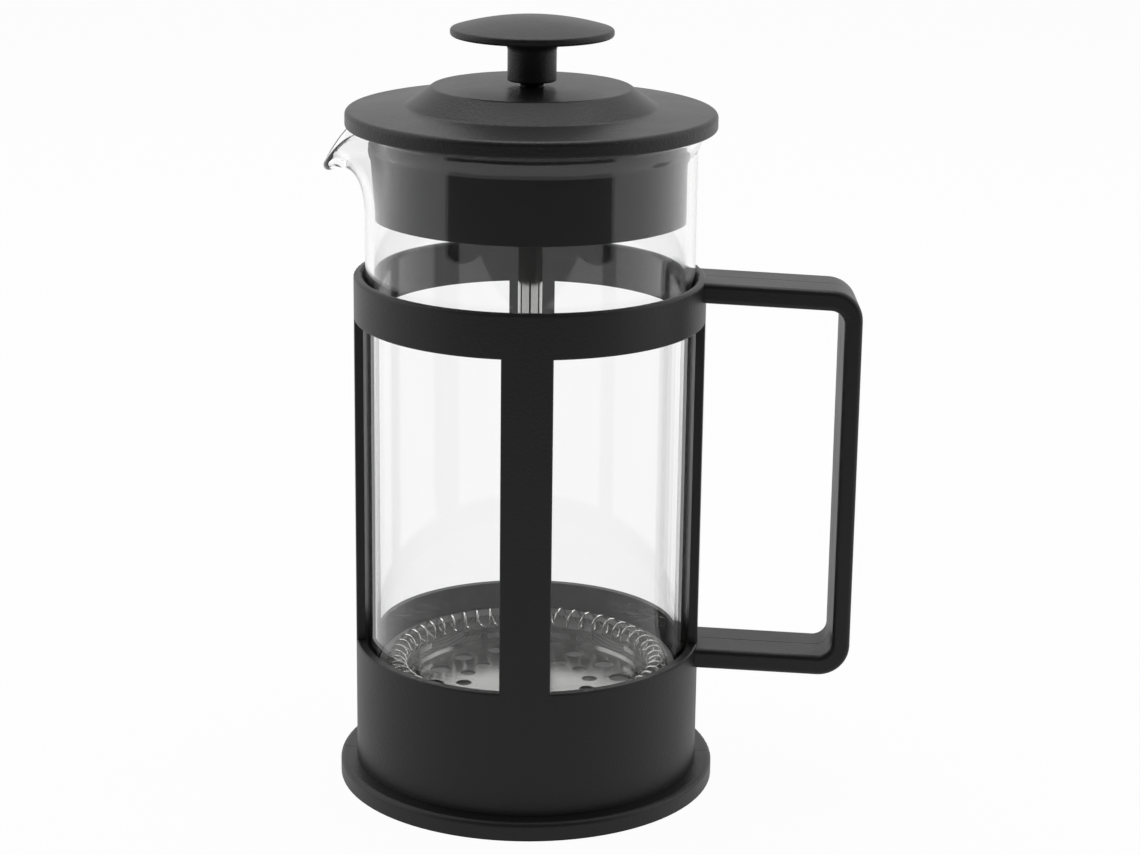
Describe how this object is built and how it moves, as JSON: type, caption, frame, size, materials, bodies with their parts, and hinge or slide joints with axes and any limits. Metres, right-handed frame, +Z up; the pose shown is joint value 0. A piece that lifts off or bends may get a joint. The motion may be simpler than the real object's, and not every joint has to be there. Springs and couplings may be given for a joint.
{
  "type": "french press",
  "caption": "Cafetiere with a glass beaker in a moulded frame with a C-shaped handle, a lid with a skirt, and a knob, rod and sprung mesh filter that slide down through the lid.",
  "frame": {"origin": "centre of the foot's flat underside, on the beaker's axis", "axes": "+Z up along the plunger rod, +X towards the handle, -X towards the spout"},
  "size_m": [0.1112, 0.08, 0.1627],
  "materials": {
    "black_plastic": "moulded, fine satin grain",
    "clear_glass": "clear, fire-polished rim",
    "polished_steel": "polished",
    "sheet_steel": "bright pressed sheet",
    "woven_mesh": "fine woven wire",
    "spring_wire": "bright drawn wire",
    "brass": "turned"
  },
  "bodies": {
    "frame": {"frame": "black_plastic"},
    "beaker": {"glass_beaker": "clear_glass"},
    "lid": {"lid_cover": "black_plastic", "lid_skirt": "black_plastic"},
    "plunger": {"knob": "black_plastic", "knob_insert": "brass", "plunger_rod": "polished_steel", "rod_collar": "polished_steel", "filter_plate": "sheet_steel", "spring_coil": "spring_wire", "mesh_filter": "woven_mesh", "cross_plate": "sheet_steel", "hub_nut": "polished_steel"}
  },
  "joints": [
    {"name": "beaker_lift", "type": "slide", "parent": "frame", "child": "beaker", "axis": [0, 0, 1], "range_m": [0, 0.107]},
    {"name": "lid_lift", "type": "slide", "parent": "beaker", "child": "lid", "axis": [0, 0, 1], "range_m": [0, 0.131]},
    {"name": "plunger_slide", "type": "slide", "parent": "lid", "child": "plunger", "axis": [0, 0, 1], "range_m": [-0.001, 0.095]}
  ]
}
